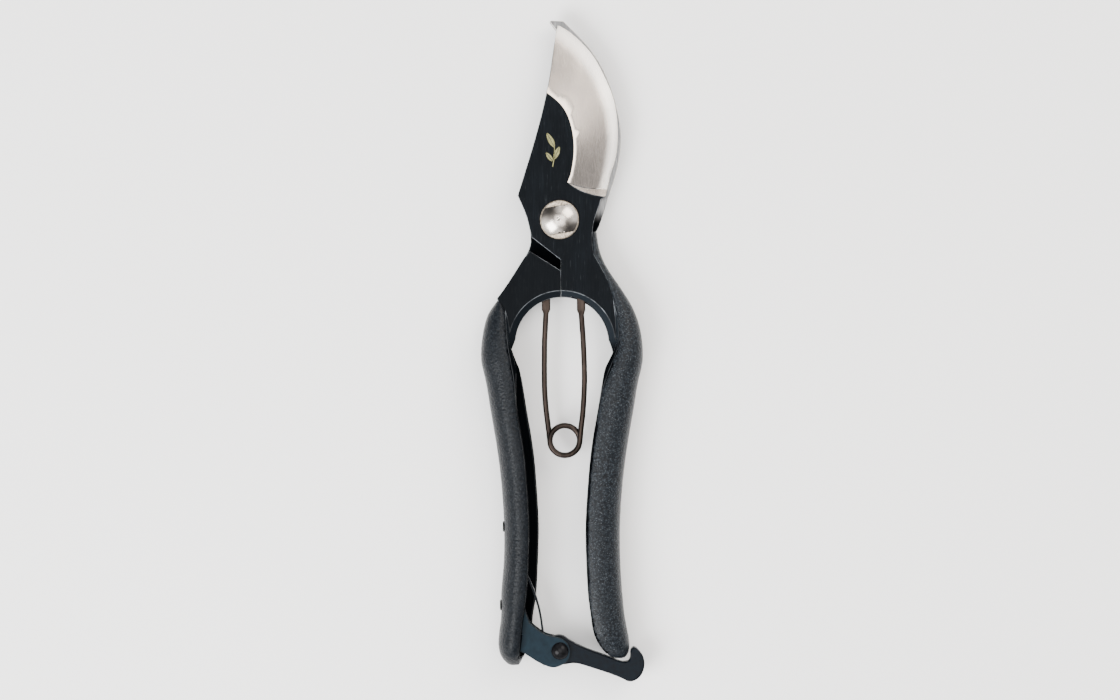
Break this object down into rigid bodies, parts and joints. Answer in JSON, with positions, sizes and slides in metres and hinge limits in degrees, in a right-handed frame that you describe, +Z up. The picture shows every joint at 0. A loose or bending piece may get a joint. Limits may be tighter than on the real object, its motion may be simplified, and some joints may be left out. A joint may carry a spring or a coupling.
{
  "type": "floral snips",
  "caption": "Forged bypass snips with textured channel handles, safety-pin return spring and a hook catch across the handle ends.",
  "frame": {"origin": "on the pivot axis at the table, the underside of the pivot nut", "axes": "+Y from the pivot towards the blade tip, +Z up through the thickness towards the bolt head, +X towards the cutting edge"},
  "size_m": [0.0495, 0.2, 0.0151],
  "materials": {
    "blade_steel": "black forged face, polished grind",
    "hook_steel": "black forged face, bright rim",
    "grip_coating": "fine crinkle texture",
    "nickel": "bright nickel",
    "zinc": "satin",
    "spring_steel": "oil-tempered bronze brown",
    "catch_steel": "satin blue-black",
    "black_rivet": "gloss black"
  },
  "bodies": {
    "hook_side": {"hook_half": "hook_steel", "grip_left": "grip_coating", "catch_bracket": "catch_steel", "catch_rivet": "black_rivet", "catch_leaf_spring": "catch_steel", "bracket_rivet": "black_rivet", "leaf_spring_rivet": "black_rivet"},
    "blade_side": {"blade_half": "blade_steel", "grip_right": "grip_coating", "pivot_bolt": "nickel", "pivot_washer": "zinc", "pivot_nut": "zinc"},
    "spring_left": {"spring_left_leg": "spring_steel"},
    "spring_right": {"spring_right_leg": "spring_steel"},
    "catch": {"catch_arm": "catch_steel"}
  },
  "joints": [
    {"name": "pivot_hinge", "type": "hinge", "parent": "hook_side", "child": "blade_side", "pos_m": [0, 0, 0], "axis": [0, 0, 1], "range_deg": [0, 36]},
    {"name": "spring_socket_hinge", "type": "hinge", "parent": "hook_side", "child": "spring_left", "pos_m": [-0.0041, -0.0241, 0], "axis": [0, 0, 1], "range_deg": [0, 29.73]},
    {"name": "spring_coil_hinge", "type": "hinge", "parent": "spring_left", "child": "spring_right", "pos_m": [0.0016, -0.0667, 0], "axis": [0, 0, 1], "range_deg": [-20.11, 0]},
    {"name": "catch_hinge", "type": "hinge", "parent": "hook_side", "child": "catch", "pos_m": [0.00015, -0.1301, 0], "axis": [0, 0, 1], "range_deg": [-90, 0], "deforming": ["catch_leaf_spring"]}
  ],
  "couplings": [
    {"joint": "spring_socket_hinge", "follows": "pivot_hinge", "ratio": 0.8203},
    {"joint": "spring_coil_hinge", "follows": "pivot_hinge", "ratio": -0.5531},
    {"joint": "catch_hinge", "follows": "pivot_hinge", "ratio": -2.5}
  ]
}
